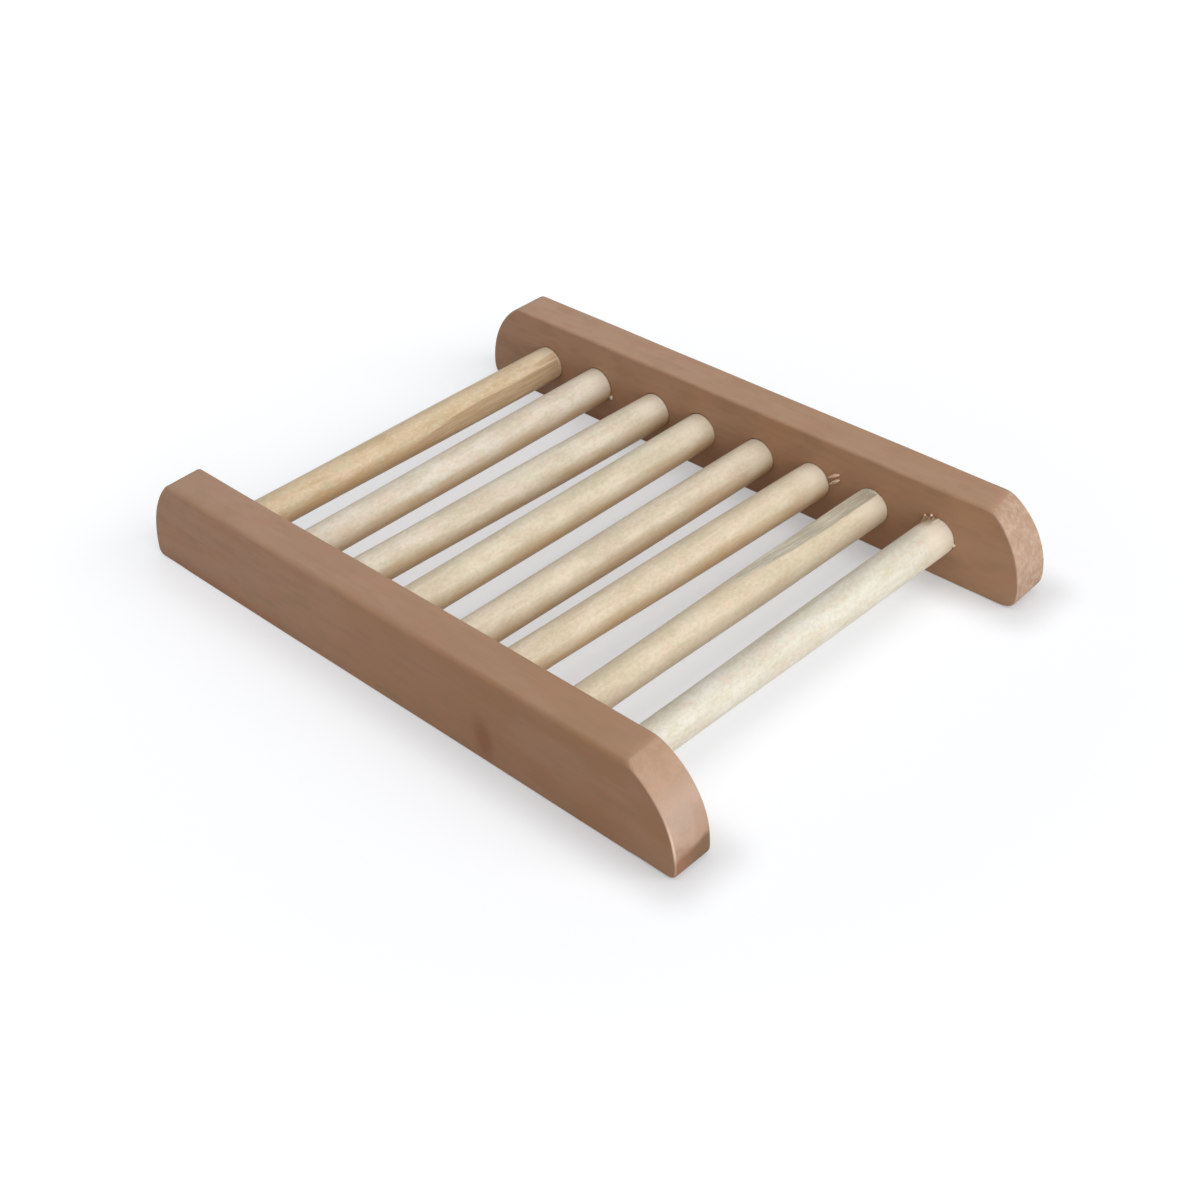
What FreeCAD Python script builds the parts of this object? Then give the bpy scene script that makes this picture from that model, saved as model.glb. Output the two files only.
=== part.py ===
import FreeCAD, Part
import math
import os
from collections import namedtuple

import Sketcher
from FreeCAD import Placement, Rotation, Vector

# Wooden soap dish, built like a short ladder: two side rails stand on edge and eight
# round dowels, glued into blind bores in the rails' inner faces, carry the soap.
#
# Frame: millimetres, +X along the rails, +Y from the front rail to the back rail and
# +Z up. The origin is on the surface that the dish stands on, below its middle.

# Every length of the dish, in millimetres, with what it measures.
SIZES = [
    ("rail_length", 120.0, "a side rail from end to end"),
    ("rail_height", 16.5, "a side rail from its flat underside to its flat top"),
    ("rail_thickness", 7.2, "a side rail from its outer face to its inner face"),
    ("dish_width", 86.8, "from the front rail's outer face to the back rail's"),
    ("sweep_length", 8.0, "how far in from its end a rail's top begins to sweep down"),
    ("plumb_height", 1.2, "the plumb stretch of a rail's end, between sweep and foot"),
    ("foot_radius", 2.2, "rounding between a rail's end and its underside"),
    ("crease_radius", 1.2, "softening of the crease where the top meets the sweep"),
    ("edge_radius", 0.5, "sanded rounding of every long edge of a rail"),
    ("dowel_diameter", 6.5, "a dowel across"),
    ("dowel_height", 7.8, "the dowels' axes above the standing surface"),
    ("dowel_inset", 15.725, "from a rail's end to the axis of the dowel nearest to it"),
    ("bore_depth", 4.8, "a blind bore's depth in the rail's inner face"),
    ("bore_clearance", 0.1, "glue room all round a dowel in its bore"),
    ("bore_end_clearance", 0.3, "glue room between a dowel's end and its bore's floor"),
    ("long_flat_depth", 0.62, "how deep the seventh dowel's flat is at its back end"),
    ("long_flat_run", 52.0, "how far that flat runs forward before it dies out"),
    ("short_flat_depth", 0.5, "how deep the first dowel's flat is at its back end"),
    ("short_flat_run", 40.0, "how far that flat runs forward before it dies out"),
    ("cut_overrun", 2.0, "how far a cutting outline stands clear of what it cuts"),
]

DOWEL_COUNT = 8

# The bores were drilled by eye, so no dowel lies quite square to the rails: each dowel's
# drift from its even place in either rail, as a share of the pitch.
DOWEL_DRIFT_SHARES = {
    "front_rail": (0.0, 0.065, 0.019, 0.010, 0.036, -0.157, -0.048, -0.012),
    "back_rail": (0.0, 0.004, 0.146, 0.004, 0.049, 0.011, -0.031, 0.008),
}

# The rails were sanded by hand, so no two ends are alike. Each rail gives the shares of
# a size that its left (-X) end and its right (+X) end have.
SWEEP_SHARES = {"front_rail": (0.9, 1.1), "back_rail": (1.08, 0.65)}
PLUMB_SHARES = {"front_rail": (0.1, 0.7), "back_rail": (0.1, 1.0)}
FOOT_SHARES = {"front_rail": (1.0, 0.65), "back_rail": (0.9, 1.35)}
CREASE_SHARES = {"front_rail": (1.0, 1.0), "back_rail": (1.0, 2.2)}
LEFT, RIGHT = 0, 1

# Two dowels have a planed flat at their back end. Each gives the sheet's names of its
# depth and run, and the angle by which the flat is turned from straight up towards +X.
FLATS = {
    "dowel_1": ("short_flat_depth", "short_flat_run", 86.0),
    "dowel_7": ("long_flat_depth", "long_flat_run", -12.0),
}

# How near two measured places count as one when an edge is looked up.
SAME_PLACE = 1e-4

# The sketcher's numbers for the two ends and the centre of a piece of geometry, for the
# sketch's origin and for its horizontal axis.
START, END, CENTRE = 1, 2, 3
ORIGIN = (-1, START)
FLOOR_LINE = -1


class Length:
    """A length that keeps its value beside the formula that gives it from the sheet."""

    def __init__(self, value, formula):
        self.value = value
        self.formula = formula

    def __add__(self, other):
        return Length(self.value + other.value, f"({self.formula} + {other.formula})")

    def __sub__(self, other):
        return Length(self.value - other.value, f"({self.formula} - {other.formula})")

    def __mul__(self, share):
        return Length(self.value * share, f"{self.formula} * {share}")

    def __truediv__(self, count):
        return Length(self.value / count, f"{self.formula} / {count}")


size = {alias: Length(value, f"sizes.{alias}") for alias, value, _ in SIZES}
dowel_radius = size["dowel_diameter"] / 2
bore_radius = dowel_radius + size["bore_clearance"]
dowel_pitch = (size["rail_length"] - size["dowel_inset"] * 2) / (DOWEL_COUNT - 1)
to_bore_floor = size["dish_width"] / 2 - size["rail_thickness"] + size["bore_depth"]
dowel_half_length = to_bore_floor - size["bore_end_clearance"]
between_bores = size["dish_width"] - size["rail_thickness"] * 2 + size["bore_depth"]
doc = FreeCAD.newDocument("soap_dish")


def make_sheet():
    """Lists every size with its alias and its meaning, one to a row."""
    sheet = doc.addObject("Spreadsheet::Sheet", "sizes")
    for row, (alias, value, meaning) in enumerate(SIZES, start=1):
        sheet.set(f"A{row}", alias)
        sheet.set(f"B{row}", str(value))
        sheet.setAlias(f"B{row}", alias)
        sheet.set(f"C{row}", meaning)
    doc.recompute()


def make_body(name):
    """Starts a sub-part, whose name its file takes."""
    body = doc.addObject("PartDesign::Body", name)
    body.Label = name
    return body


def make_sketch(body, name, role):
    """Starts a sketch on one of the body's own origin planes."""
    plane = next(feature for feature in body.Origin.OriginFeatures if feature.Role == role)
    sketch = body.newObject("Sketcher::SketchObject", name)
    sketch.AttachmentSupport = [(plane, "")]
    sketch.MapMode = "FlatFace"
    return sketch


def make_pad(body, name, sketch, length):
    """Pads a sketch by half of the length to each side of its plane."""
    pad = body.newObject("PartDesign::Pad", name)
    pad.Profile = sketch
    pad.Midplane = True
    pad.setExpression("Length", length.formula)
    doc.recompute()
    return pad


def make_fillet(body, name, base, wanted, radius):
    """Rounds the edges of a feature whose bounding box passes a test."""
    fillet = body.newObject("PartDesign::Fillet", name)
    edges = enumerate(base.Shape.Edges, start=1)
    fillet.Base = (base, [f"Edge{number}" for number, edge in edges if wanted(edge.BoundBox)])
    fillet.setExpression("Radius", radius.formula)
    doc.recompute()
    return fillet


def relate(sketch, relations):
    """Adds the constraints of a sketch that hold no size."""
    for kind, *places in relations:
        sketch.addConstraint(Sketcher.Constraint(kind, *places))


def dimension(sketch, name, length, kind, *places):
    """Adds a measured constraint and binds it to the sheet."""
    index = sketch.addConstraint(Sketcher.Constraint(kind, *places, length.value))
    sketch.renameConstraint(index, name)
    sketch.setExpression(f"Constraints.{name}", length.formula)


def line(x_1, y_1, x_2, y_2):
    return Part.LineSegment(Vector(x_1, y_1, 0), Vector(x_2, y_2, 0))


def circle(x, y, radius):
    return Part.Circle(Vector(x, y, 0), Vector(0, 0, 1), radius)


def arc(x, y, radius, start, end):
    return Part.ArcOfCircle(circle(x, y, radius), start, end)


RailEnd = namedtuple("RailEnd", "foot plumb sweep radius turn")


def rail_end(name, side):
    """Works out one end of a rail: its foot's radius, its plumb stretch and how far in
    its sweep reaches, then the radius and the turn of the sweep's arc, which stands
    plumb where it meets the plumb stretch and so follows from its reach and its rise."""
    foot = size["foot_radius"] * FOOT_SHARES[name][side]
    plumb = size["plumb_height"] * PLUMB_SHARES[name][side]
    sweep = size["sweep_length"] * SWEEP_SHARES[name][side]
    rise = (size["rail_height"] - foot - plumb).value
    radius = (sweep.value**2 + rise**2) / (2 * sweep.value)
    return RailEnd(foot, plumb, sweep, radius, math.asin(rise / radius))


def rail_outline(body, name):
    """Draws a rail seen from its side, round from its underside: the rounding of the
    right foot, a plumb stretch, the arc that sweeps back to the top, the flat top, and
    the same down the left end."""
    sketch = make_sketch(body, f"{name}_outline", "XZ_Plane")
    half_length = size["rail_length"] / 2
    half, top = half_length.value, size["rail_height"].value
    left, right = rail_end(name, LEFT), rail_end(name, RIGHT)
    l_foot, r_foot = left.foot.value, right.foot.value
    l_plumb, r_plumb = (left.foot + left.plumb).value, (right.foot + right.plumb).value
    quarter = math.pi / 2
    outline = [
        line(l_foot - half, 0, half - r_foot, 0),
        arc(half - r_foot, r_foot, r_foot, -quarter, 0),
        line(half, r_foot, half, r_plumb),
        arc(half - right.radius, r_plumb, right.radius, 0, right.turn),
        line(half - right.sweep.value, top, left.sweep.value - half, top),
        arc(left.radius - half, l_plumb, left.radius, math.pi - left.turn, math.pi),
        line(-half, l_plumb, -half, l_foot),
        arc(l_foot - half, l_foot, l_foot, math.pi, math.pi + quarter),
    ]
    geometry = sketch.addGeometry(outline, False)
    underside, foot_r, plumb_r, sweep_r, flat_top, sweep_l, plumb_l, foot_l = geometry

    relate(
        sketch,
        [
            ("Horizontal", underside),
            ("Horizontal", flat_top),
            ("Vertical", plumb_r),
            ("Vertical", plumb_l),
            ("PointOnObject", underside, START, FLOOR_LINE),
            ("Tangent", underside, END, foot_r, START),
            ("Tangent", foot_r, END, plumb_r, START),
            ("Tangent", plumb_r, END, sweep_r, START),
            ("Coincident", sweep_r, END, flat_top, START),
            ("Coincident", flat_top, END, sweep_l, START),
            ("Tangent", sweep_l, END, plumb_l, START),
            ("Tangent", plumb_l, END, foot_l, START),
            ("Tangent", foot_l, END, underside, START),
        ],
    )
    dimension(sketch, "height", size["rail_height"], "DistanceY", *ORIGIN, flat_top, START)
    dimension(sketch, "left_half", half_length, "DistanceX", plumb_l, START, *ORIGIN)
    dimension(sketch, "right_half", half_length, "DistanceX", *ORIGIN, plumb_r, START)
    dimension(sketch, "left_foot", left.foot, "Radius", foot_l)
    dimension(sketch, "right_foot", right.foot, "Radius", foot_r)
    dimension(sketch, "left_plumb", left.plumb, "DistanceY", plumb_l, END, plumb_l, START)
    dimension(sketch, "right_plumb", right.plumb, "DistanceY", plumb_r, START, plumb_r, END)
    dimension(sketch, "left_sweep", left.sweep, "DistanceX", plumb_l, START, flat_top, END)
    dimension(sketch, "right_sweep", right.sweep, "DistanceX", flat_top, START, plumb_r, START)
    return sketch


def place_along_rail(number, name):
    """A bore's place along its rail, measured from the middle of the dish. The dowel's axis
    crosses the bore's axis there, halfway down the bore."""
    even_share = number - 1 - (DOWEL_COUNT - 1) / 2
    return dowel_pitch * (even_share + DOWEL_DRIFT_SHARES[name][number - 1])


def bore_circles(body, name, inner_side):
    """Draws the bores' circles on the rail's inner face, one for each dowel."""
    sketch = make_sketch(body, f"{name}_bore_places", "XZ_Plane")
    to_inner_face = size["rail_thickness"] / (-2 * inner_side)
    sketch.setExpression("AttachmentOffset.Base.z", to_inner_face.formula)
    height = size["dowel_height"]
    for number in range(1, DOWEL_COUNT + 1):
        place = place_along_rail(number, name)
        bore = sketch.addGeometry(circle(place.value, height.value, bore_radius.value), False)
        along = [ORIGIN, (bore, CENTRE)]
        if place.value < 0:
            along.reverse()
            place = place * -1
        dimension(sketch, f"place_{number}", place, "DistanceX", *along[0], *along[1])
        dimension(sketch, f"height_{number}", height, "DistanceY", *ORIGIN, bore, CENTRE)
        dimension(sketch, f"radius_{number}", bore_radius, "Radius", bore)
    return sketch


def make_rail(name, inner_side):
    """Makes a side rail. inner_side is 1 where its inner face looks to +Y, else -1."""
    body = make_body(name)
    outline = rail_outline(body, name)
    blank = make_pad(body, f"{name}_blank", outline, size["rail_thickness"])

    def ends_the_top(box):
        return box.XLength < SAME_PLACE and box.ZMin > size["rail_height"].value - SAME_PLACE

    def is_left_crease(box):
        return ends_the_top(box) and box.XMax < 0

    def is_right_crease(box):
        return ends_the_top(box) and box.XMin > 0

    def is_long_edge(box):
        return box.YLength < SAME_PLACE

    left_radius = size["crease_radius"] * CREASE_SHARES[name][LEFT]
    right_radius = size["crease_radius"] * CREASE_SHARES[name][RIGHT]
    creased = make_fillet(body, f"{name}_left_crease", blank, is_left_crease, left_radius)
    creased = make_fillet(body, f"{name}_right_crease", creased, is_right_crease, right_radius)
    eased = make_fillet(body, f"{name}_long_edges", creased, is_long_edge, size["edge_radius"])

    bores = body.newObject("PartDesign::Pocket", f"{name}_bores")
    bores.Profile = bore_circles(body, name, inner_side)
    bores.Reversed = inner_side > 0
    bores.setExpression("Length", size["bore_depth"].formula)
    doc.recompute()
    bored_away = eased.Shape.Volume - bores.Shape.Volume
    expected = DOWEL_COUNT * math.pi * bore_radius.value**2 * size["bore_depth"].value
    if not math.isclose(bored_away, expected, rel_tol=SAME_PLACE):
        raise RuntimeError(f"{name}: the bores took {bored_away:.2f} mm3, not {expected:.2f}")

    middle = (size["dish_width"] - size["rail_thickness"]) / (-2 * inner_side)
    body.setExpression("Placement.Base.y", middle.formula)
    return body


def flat_outline(body, name, depth, run):
    """Draws what is planed off the top of a dowel: a long thin triangle whose lowest
    side is the flat. It passes through two marks, one as deep as the flat is at the
    dowel's back end, the other on the dowel's top, where the flat has died out."""
    sketch = make_sketch(body, f"{name}_flat_outline", "YZ_Plane")
    overrun, end, top = size["cut_overrun"], dowel_half_length, dowel_radius + size["cut_overrun"]
    slope = depth.value / run.value
    back = (end + overrun).value
    low = (dowel_radius - depth - overrun * slope).value
    front = back - (top.value - low) / slope

    back_side, top_side, flat_side = sketch.addGeometry(
        [
            line(back, low, back, top.value),
            line(back, top.value, front, top.value),
            line(front, top.value, back, low),
        ],
        False,
    )
    deep_mark, shallow_mark = sketch.addGeometry(
        [
            Part.Point(Vector(end.value, (dowel_radius - depth).value, 0)),
            Part.Point(Vector((end - run).value, dowel_radius.value, 0)),
        ],
        True,
    )
    relate(
        sketch,
        [
            ("Coincident", back_side, END, top_side, START),
            ("Coincident", top_side, END, flat_side, START),
            ("Coincident", flat_side, END, back_side, START),
            ("Vertical", back_side),
            ("Horizontal", top_side),
            ("PointOnObject", deep_mark, START, flat_side),
            ("PointOnObject", shallow_mark, START, flat_side),
        ],
    )
    dimension(sketch, "end", end, "DistanceX", *ORIGIN, deep_mark, START)
    dimension(sketch, "run", run, "DistanceX", shallow_mark, START, deep_mark, START)
    dimension(sketch, "top", dowel_radius, "DistanceY", *ORIGIN, shallow_mark, START)
    dimension(sketch, "depth", depth, "DistanceY", deep_mark, START, shallow_mark, START)
    dimension(sketch, "behind", overrun, "DistanceX", deep_mark, START, back_side, END)
    dimension(sketch, "above", overrun, "DistanceY", shallow_mark, START, back_side, END)
    return sketch


def make_dowel(number):
    """Makes a dowel, which lies along Y with both its ends in the rails' bores, and so is
    turned a little where they drifted apart."""
    name = f"dowel_{number}"
    body = make_body(name)
    section = make_sketch(body, f"{name}_section", "XZ_Plane")
    round_section = section.addGeometry(circle(0, 0, dowel_radius.value), False)
    relate(section, [("Coincident", round_section, CENTRE, *ORIGIN)])
    dimension(section, "radius", dowel_radius, "Radius", round_section)
    rod = make_pad(body, f"{name}_rod", section, dowel_half_length * 2)

    flat_turn = 0
    if name in FLATS:
        depth_name, run_name, flat_turn = FLATS[name]
        flat = body.newObject("PartDesign::Pocket", f"{name}_flat")
        flat.Profile = flat_outline(body, name, size[depth_name], size[run_name])
        flat.Type = "ThroughAll"
        flat.Midplane = True
        doc.recompute()
        if flat.Shape.Volume >= rod.Shape.Volume:
            raise RuntimeError(f"{name}: the flat cut nothing")

    front, back = (place_along_rail(number, rail) for rail in ("front_rail", "back_rail"))
    askew = -math.degrees(math.atan((back - front).value / between_bores.value))
    turns = Rotation(Vector(0, 0, 1), askew) * Rotation(Vector(0, 1, 0), flat_turn)
    body.Placement = Placement(Vector(0, 0, 0), turns)
    body.setExpression("Placement.Base.x", ((front + back) / 2).formula)
    body.setExpression("Placement.Base.z", size["dowel_height"].formula)
    return body


def check(pieces):
    """Stops the build if any object failed or any piece isn't one valid solid."""
    for item in doc.Objects:
        failed = {"Invalid", "Error"} & set(item.State)
        if failed:
            raise RuntimeError(f"{item.Label} is {sorted(failed)}")
    for piece in pieces:
        shape = piece.Shape
        if shape.isNull() or not shape.isValid() or len(shape.Solids) != 1:
            raise RuntimeError(f"{piece.Label} isn't one valid solid")


def main():
    make_sheet()
    pieces = [make_rail("front_rail", 1), make_rail("back_rail", -1)]
    pieces += [make_dowel(number) for number in range(1, DOWEL_COUNT + 1)]
    doc.recompute()
    check(pieces)

    os.makedirs("parts", exist_ok=True)
    for piece in pieces:
        piece.Shape.exportStep(f"parts/{piece.Label}.step")
        print(f"{piece.Label}: {piece.Shape.Volume:.1f} mm3")


main()
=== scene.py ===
"""Dresses the wooden soap dish: brown side rails with pale dowels set in their bores.

Everything is in metres, in the dish's own frame: +X along the rails, +Y from the front rail
to the back rail and +Z up from the surface that the dish stands on."""

import math

import bmesh
import bpy
import numpy as np
from mathutils import Matrix, Vector


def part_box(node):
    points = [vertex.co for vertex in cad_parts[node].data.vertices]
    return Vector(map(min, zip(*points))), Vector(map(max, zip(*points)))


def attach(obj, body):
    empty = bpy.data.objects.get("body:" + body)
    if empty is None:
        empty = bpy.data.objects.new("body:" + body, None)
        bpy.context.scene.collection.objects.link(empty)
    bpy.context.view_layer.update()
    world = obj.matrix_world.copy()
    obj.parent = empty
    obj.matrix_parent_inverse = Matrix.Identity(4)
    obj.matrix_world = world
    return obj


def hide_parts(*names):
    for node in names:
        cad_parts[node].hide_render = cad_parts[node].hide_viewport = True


MM = 0.001
DOWEL_COUNT = 8

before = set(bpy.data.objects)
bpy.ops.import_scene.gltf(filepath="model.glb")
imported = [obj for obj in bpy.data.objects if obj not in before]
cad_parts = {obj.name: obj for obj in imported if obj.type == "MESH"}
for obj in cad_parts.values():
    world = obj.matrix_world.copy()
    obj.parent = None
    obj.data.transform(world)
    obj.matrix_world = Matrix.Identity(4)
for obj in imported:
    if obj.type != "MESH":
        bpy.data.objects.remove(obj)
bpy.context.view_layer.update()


# Shapes

# A rail's ends were shaped by hand, so its outer and its inner edge differ. Each end says,
# in millimetres, how far short of the rail's length the edge stops, how long the sweep is,
# how high above the ground it comes plumb, and the rounding of the foot, first at the outer
# edge and then at the inner edge. Last comes how many times its outline is softened.
RAIL_ENDS = {
    "front_rail": {
        "left": ((0.6, 6.8, 1.2, 1.0), (0, 7.2, 2.2, 2.0), 3),
        "right": ((0, 8.6, 3.1, 1.3), (0, 9.4, 3.6, 1.5), 2),
    },
    "back_rail": {
        "left": ((0, 7.8, 2.4, 2.1), (0, 7.8, 2.4, 2.1), 3),
        "right": ((0, 7.2, 4.6, 3.4), (0, 5.4, 3.9, 2.4), 9),
    },
}
# Which way along Y each rail's inner face looks.
INWARD = {"front_rail": 1, "back_rail": -1}

# How round the rails' edges were sanded: at the top of the outer faces, where the dish is
# held, with how uneven that is, then at the top of the inner faces, at the underside and
# round the ends, with how uneven those three are, and over what length all of them waver.
HELD_EDGES = {"front_rail": (1.0 * MM, 0.14), "back_rail": (0.6 * MM, 0.08)}
INNER_EDGE, LOW_EDGE, END_EDGE = 0.5 * MM, 0.25 * MM, 0.42 * MM
EDGE_UNEVENNESS, EDGE_WAVE_LENGTH = 0.12, 22 * MM
# From where to where, along X from the dish's middle, an edge goes over into an end's edge,
# and from which to which share of the height the low edge goes over into the top edge.
EDGE_TO_END = (50.5 * MM, 53.5 * MM)
EDGE_TO_TOP_SHARES = (0.8, 0.95)
# How far the whole of a rail's surface wanders, and over what length.
RAIL_WAVE, RAIL_WAVE_LENGTH = 0.03 * MM, 40 * MM

# A bore is a touch wider than a dowel, and its rim is worn round.
BORE_DEPTH, BORE_RADIUS, RIM_WEAR = 4.8 * MM, 3.27 * MM, 0.06 * MM
# How far the inner face's first and last cell go on beyond the middle of their bore.
LAST_CELL = 5.2 * MM

# Where a rail's finish changes over to that of its ends, along X from the dish's middle,
# and how squarely a face has to look along X, or along Y, to count as an end or a side.
NEAR_END = (48 * MM, 51 * MM)
END_FACING, SIDE_FACING = (0.16, 0.34), (0.4, 0.9)

# How finely the rails' grids are divided: points round an end's arcs and along its whole
# outline, the columns of a cell, the rows of an end, of a cell's face, of a bore's rim and
# wall, and the steps of a rounded edge and of the band between two of them.
SWEEP_POINTS, FOOT_POINTS, END_POINTS = 80, 40, 72
CELL_COLUMNS, END_ROWS, CELL_ROWS, RIM_ROWS, WALL_ROWS = 22, 14, 12, 5, 6
ROUND_STEPS, BAND_STEPS = 6, 14
# The power that crowds an end's rows towards its outline, and how large each ring of a
# bore's floor is.
END_CROWDING = 1.2
BORE_FLOOR_SHARES = (0.97, 0.6, 0)

# The dowels lie a little askew. How far each one's back end lies further along +X than its
# front end, in millimetres, measured between the middles of its two bores.
SKEWS = dict(zip(range(1, DOWEL_COUNT + 1), (0, -0.77, 1.61, -0.08, 0.16, 2.13, 0.22, 0.25)))
BETWEEN_BORES = 77.2 * MM
# How much thinner each dowel is towards its front end, in millimetres of its radius, and
# from where to where it becomes so, measured towards the front from the dish's middle.
TAPERS = dict(zip(range(1, DOWEL_COUNT + 1), (0.15, 0.2, 0.2, 0.12, 0.18, 0.25, 0.33, 0.22)))
TAPER_SPAN = (-14 * MM, 26 * MM)
# How unevenly the dowels are worn, over what length across them as a number of radii, and
# how many times longer that is along them. Then how far each dowel bows off its axis, and
# how much further round it does so than the one before it.
DOWEL_WEAR, WEAR_LENGTH, WEAR_STRETCH = 0.02 * MM, 2.5, 6
DOWEL_BOW, BOW_TURN = 0.05 * MM, math.radians(40)

# Planed flats: the turn from straight up towards +X in degrees, the depth in millimetres,
# and from where to where along Y, in millimetres, the flat deepens. Every flat runs out by
# the back rail's bores.
FLATS = {
    "dowel_1": ((86, 0.5, -2, 16), (38.5, 0.11, 28, 33)),
    "dowel_7": ((-12, 0.62, -5, 23.75),),
}
FLATS_END = (35.9 * MM, 36.15 * MM)
# How rough a planed flat is, how much finer that is across it than along it, how deep the
# flat is where its own grain shows in full, and the cosine of the widest turn from its
# normal at which it is worked out.
FLAT_ROUGHNESS, FLAT_FINENESS, FLAT_SHOWN, FLAT_WIDEST = 0.018 * MM, 7, 0.04 * MM, 0.2
# How finely a dowel's grid is divided, and how large each ring of its ends is.
DOWEL_AROUND, DOWEL_ALONG = 144, 300
CAP_SHARES = (0.97, 0.5, 0)
# Where the last dowel's far end is frayed: where that starts and where it is full, along Y
# in millimetres, the patch's middle round the dowel, in degrees from straight up towards
# +X, and how many degrees to either side of that it stays full and fades out.
FRAYED = ((32.2, 35.2), -36, (23, 46))

# What tore out or squeezed out by the back rail's bores, in millimetres: splinters beside
# the sixth dowel, loose fibres, a frayed edge and the ends of two fibres on the eighth, and
# glue.
SPLINTERS = (
    ((21.9, 36.06, 9.5), (24.6, 36.0, 11.3), 0.6, 0.05),
    ((22.2, 36.06, 8.3), (24.65, 36.0, 10.3), 0.64, 0.04),
)
FIBRES = (
    ((44.25, 34.0, 11.0), (44.5, 36.3, 11.02), 0.2, 0.03),
    ((45.0, 34.4, 10.94), (45.3, 36.3, 10.92), 0.2, 0.03),
    ((45.7, 34.2, 10.72), (46.1, 36.3, 10.6), 0.18, 0.03),
)
FRAYED_EDGE = (
    ((42.15, 34.6, 9.8), (41.6, 36.25, 10.15), 0.42, 0),
    ((42.5, 34.1, 10.2), (41.95, 36.25, 10.6), 0.46, 0),
    ((42.95, 34.3, 10.5), (42.4, 36.25, 10.85), 0.44, 0),
    ((43.4, 34.0, 10.7), (42.95, 36.25, 11.1), 0.46, 0),
    ((43.9, 34.6, 10.85), (43.6, 36.25, 11.15), 0.36, 0),
)
FIBRE_ENDS = (((41.85, 36.05, 10.6), 0.27), ((43.1, 36.05, 11.14), 0.27))
BEADS = (((47.55, 36.1, 7.31), 0.35), ((-28.2, 36.1, 6.26), 0.42))
# The power that moves a sliver's thickest place past its middle, and its grid.
SLIVER_LEAN, SLIVER_ALONG, SLIVER_AROUND = 1.6, 25, 11
# How wavy a bead is, over what length as a number of radii, and how deep it is along Y as
# a share of its radius. Then its grid.
BEAD_WAVE, BEAD_WAVE_LENGTH, BEAD_DEPTH_SHARE = 0.12, 1.6, 0.8
BEAD_DOWN, BEAD_AROUND = 15, 25

# Points of a seam that are nearer to each other than this are one point.
SEAM = 0.0005 * MM


def waves(points, length, seed):
    """Smooth noise, mostly between -1 and 1: the sum of sine waves that run in random
    directions, each 0.7 to 1.5 times as long as asked, over the square root of their
    number."""
    draw = np.random.default_rng(seed)
    count = 9
    ways = draw.normal(size=(count, 3))
    ways /= np.linalg.norm(ways, axis=1, keepdims=True)
    ways *= 2 * np.pi / (length * draw.uniform(0.7, 1.5, size=(count, 1)))
    phases = draw.uniform(0, 2 * np.pi, count)
    return np.sin(points @ ways.T + phases).sum(-1) / math.sqrt(count)


def blend(a, b, shares):
    """Rows that pass from one line of points to another, one for each share."""
    shares = np.asarray(shares)[:, None, None]
    return a * (1 - shares) + b * shares


def quilt(name, patches):
    """Sews grids of points into one closed mesh: each patch is rows by columns of points,
    and points that meet at the seams become one."""
    points, faces, start = [], [], 0
    for patch in patches:
        rows, columns = patch.shape[:2]
        corner = start + np.arange(rows * columns).reshape(rows, columns)
        quads = [corner[:-1, :-1], corner[:-1, 1:], corner[1:, 1:], corner[1:, :-1]]
        faces.append(np.stack(quads, -1).reshape(-1, 4))
        points.append(patch.reshape(-1, 3))
        start += rows * columns
    mesh = bpy.data.meshes.new(name)
    mesh.from_pydata(np.concatenate(points), [], np.concatenate(faces))

    sewn = bmesh.new()
    sewn.from_mesh(mesh)
    bmesh.ops.remove_doubles(sewn, verts=sewn.verts, dist=SEAM)
    bmesh.ops.dissolve_degenerate(sewn, edges=sewn.edges, dist=SEAM)
    bmesh.ops.recalc_face_normals(sewn, faces=sewn.faces)
    sewn.to_mesh(mesh)
    sewn.free()
    mesh.shade_smooth()
    piece = bpy.data.objects.new(name, mesh)
    bpy.context.scene.collection.objects.link(piece)
    return piece


def read_points(piece):
    """A piece's points and the directions that its surface faces at them."""
    count = len(piece.data.vertices)
    points, normals = np.empty(count * 3, np.float32), np.empty(count * 3, np.float32)
    piece.data.vertices.foreach_get("co", points)
    piece.data.vertex_normals.foreach_get("vector", normals)
    return points.reshape(-1, 3), normals.reshape(-1, 3)


def mark(piece, name, values):
    """Stores one number at each of a piece's points, for its material."""
    layer = piece.data.attributes.new(name, "FLOAT", "POINT")
    layer.data.foreach_set("value", np.ascontiguousarray(values, np.float32))


def step_up(values, low, high):
    """0 below low, 1 above high, and a smooth rise between."""
    share = np.clip((values - low) / (high - low), 0, 1)
    return share * share * (3 - 2 * share)


def dowel_axis(number):
    """A dowel's axis: its middle, from its box, and how far it moves along X for each
    metre along Y."""
    low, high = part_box(f"dowel_{number}")
    return (low + high) / 2, SKEWS[number] * MM / BETWEEN_BORES


def arc(centre_x, centre_z, radius, start, end, count):
    """Points on a circle from one angle to another."""
    angles = np.linspace(start, end, count)
    return np.stack([centre_x + radius * np.cos(angles), centre_z + radius * np.sin(angles)], -1)


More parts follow.
